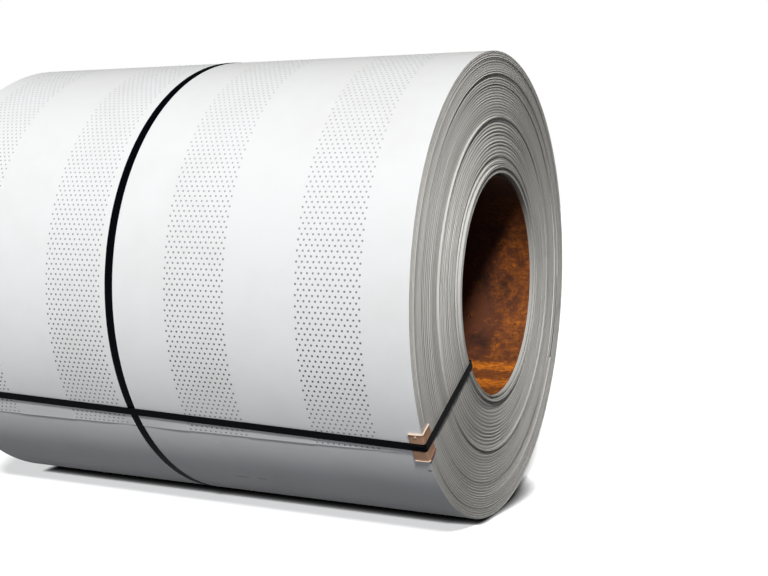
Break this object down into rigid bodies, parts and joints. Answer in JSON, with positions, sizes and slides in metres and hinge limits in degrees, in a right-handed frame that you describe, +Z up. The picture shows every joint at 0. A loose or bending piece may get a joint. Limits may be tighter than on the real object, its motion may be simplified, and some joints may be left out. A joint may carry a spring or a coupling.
{
  "type": "perforated sheet coil",
  "caption": "Coil of painted steel sheet with bands of fine perforations, wound on a steel core sleeve and tied by a ring strap and an eye strap over corner protectors.",
  "frame": {"origin": "on the floor under the middle of the coil", "axes": "+X along the coil's axis towards its near end, -Y towards the side that the eye strap runs along, +Z up"},
  "size_m": [1.2624, 1.0817, 1.0817],
  "materials": {
    "sheet": "off-white coil coating, low gloss",
    "sleeve": "bare rolled steel with brown and orange rust",
    "strap": "black painted and waxed steel strap, low gloss",
    "seal": "black painted steel, low gloss",
    "protector": "tan moulded plastic, matt, paler at the edges"
  },
  "bodies": {
    "root": {"sheet_coil": "sheet", "core_sleeve": "sleeve", "ring_strap": "strap", "ring_strap_seal": "seal", "eye_strap": "strap", "eye_strap_seal": "seal", "edge_protector_near": "protector", "edge_protector_far": "protector"}
  },
  "joints": []
}
